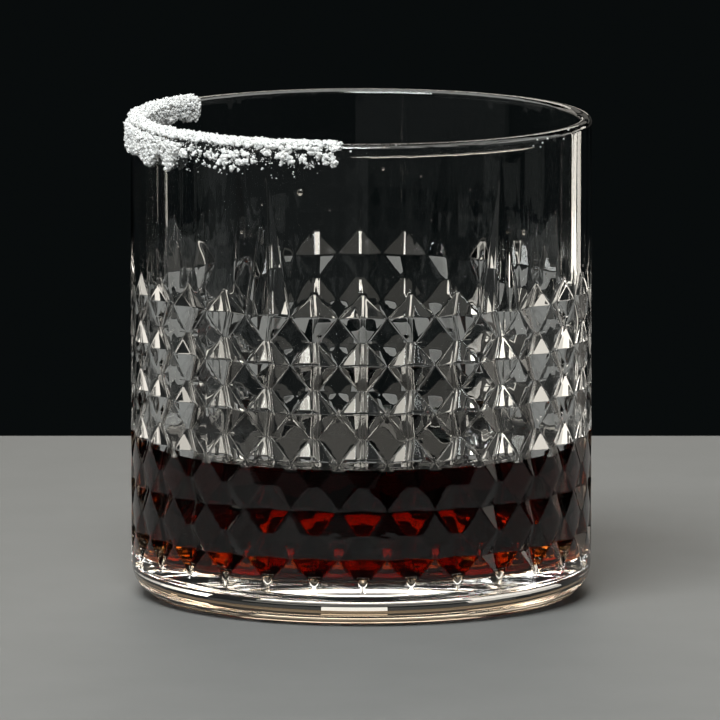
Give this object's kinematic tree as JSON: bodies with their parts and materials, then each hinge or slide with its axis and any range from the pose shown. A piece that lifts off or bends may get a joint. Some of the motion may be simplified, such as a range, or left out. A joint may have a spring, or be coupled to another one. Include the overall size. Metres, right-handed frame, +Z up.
{
  "type": "filled cocktail tumbler",
  "caption": "Low whisky cocktail in a straight pressed-glass tumbler with a sunk diamond pattern, thick clear base and a white sugar crust round part of the rim.",
  "frame": {"origin": "centre of the base, on the surface it stands on", "axes": "+Z up along the glass's axis, -Y towards the viewer, +X to the viewer's right"},
  "size_m": [0.0851, 0.0844, 0.0888],
  "materials": {
    "clear_glass": "clear, polished by fire",
    "rye_drink": "clear dark red-brown liquid",
    "white_sugar": "matt crusted grains"
  },
  "bodies": {
    "root": {"tumbler": "clear_glass", "drink": "rye_drink", "rim_crust": "white_sugar"}
  },
  "joints": []
}
